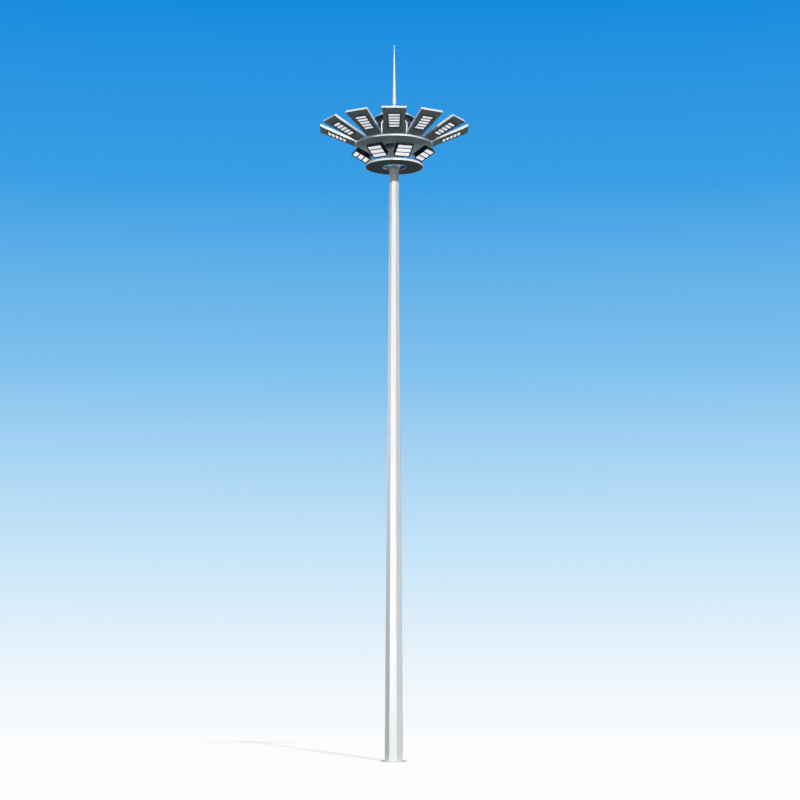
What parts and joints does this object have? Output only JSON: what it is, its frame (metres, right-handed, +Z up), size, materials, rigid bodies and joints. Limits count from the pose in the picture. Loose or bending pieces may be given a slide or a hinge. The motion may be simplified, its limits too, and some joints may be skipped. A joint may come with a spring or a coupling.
{
  "type": "high mast floodlight tower",
  "caption": "Tall tapered faceted mast with ring decks, flared light wings and tilting floodlights on its front half, a rain hood and a lightning rod.",
  "frame": {"origin": "centre of the base flange's underside, on the mast's axis", "axes": "+Z up the mast; -Y is the front, where one wing of the upper ring points; +X is to the right seen from the front"},
  "size_m": [4.214, 3.2116, 20.23],
  "materials": {
    "mast_white": "satin white paint on steel",
    "ring_white": "satin white paint on sheet steel",
    "wing_white": "satin white paint on sheet steel",
    "door_white": "satin white paint",
    "flange_steel": "white paint over a hot-dip galvanised plate",
    "soffit_grey": "matt grey paint",
    "dark_grey": "matt dark grey paint",
    "galvanised_steel": "hot-dip galvanised, matt",
    "panel_black": "black powder coat",
    "panel_lens": "clear lens plate over white light modules",
    "flood_black": "black powder-coated die casting",
    "flood_lens": "clear lens plate over white light modules"
  },
  "bodies": {
    "mast": {"base_flange": "flange_steel", "door_cover": "door_white", "door_surround": "door_white", "flood_yokes": "galvanised_steel", "head_housing": "dark_grey", "hood_soffit": "dark_grey", "housing_posts": "mast_white", "lightning_rod": "mast_white", "lower_ring_arms": "dark_grey", "lower_ring_deck": "ring_white", "lower_ring_soffit": "dark_grey", "rain_hood": "mast_white", "ring_hangers": "galvanised_steel", "rod_socket": "mast_white", "shaft_lower": "mast_white", "shaft_upper": "mast_white", "upper_ring_arms": "dark_grey", "upper_ring_deck": "ring_white", "upper_ring_soffit": "soffit_grey", "wing_1": "wing_white", "wing_2": "wing_white", "wing_3": "wing_white", "wing_4": "wing_white", "wing_5": "wing_white", "wing_6": "wing_white", "wing_7": "wing_white", "wing_brackets": "galvanised_steel", "wing_panel_frames": "panel_black", "wing_panel_modules": "panel_lens", "wing_soffits": "soffit_grey"},
    "flood_1": {"flood_housing_1": "flood_black", "flood_modules_1": "flood_lens"},
    "flood_2": {"flood_housing_2": "flood_black", "flood_modules_2": "flood_lens"},
    "flood_3": {"flood_housing_3": "flood_black", "flood_modules_3": "flood_lens"},
    "flood_4": {"flood_housing_4": "flood_black", "flood_modules_4": "flood_lens"}
  },
  "joints": [
    {"name": "flood_tilt_1", "type": "hinge", "parent": "mast", "child": "flood_1", "pos_m": [-0.73735, -0.20865, 16.8028], "axis": [-0.2723, 0.9622, 0], "range_deg": [-27, 15]},
    {"name": "flood_tilt_2", "type": "hinge", "parent": "mast", "child": "flood_2", "pos_m": [-0.37385, -0.66892, 16.8028], "axis": [-0.8729, 0.4879, 0], "range_deg": [-27, 15]},
    {"name": "flood_tilt_3", "type": "hinge", "parent": "mast", "child": "flood_3", "pos_m": [0.20865, -0.73735, 16.8028], "axis": [-0.9622, -0.2723, 0], "range_deg": [-27, 15]},
    {"name": "flood_tilt_4", "type": "hinge", "parent": "mast", "child": "flood_4", "pos_m": [0.66892, -0.37385, 16.8028], "axis": [-0.4879, -0.8729, 0], "range_deg": [-27, 15]}
  ]
}
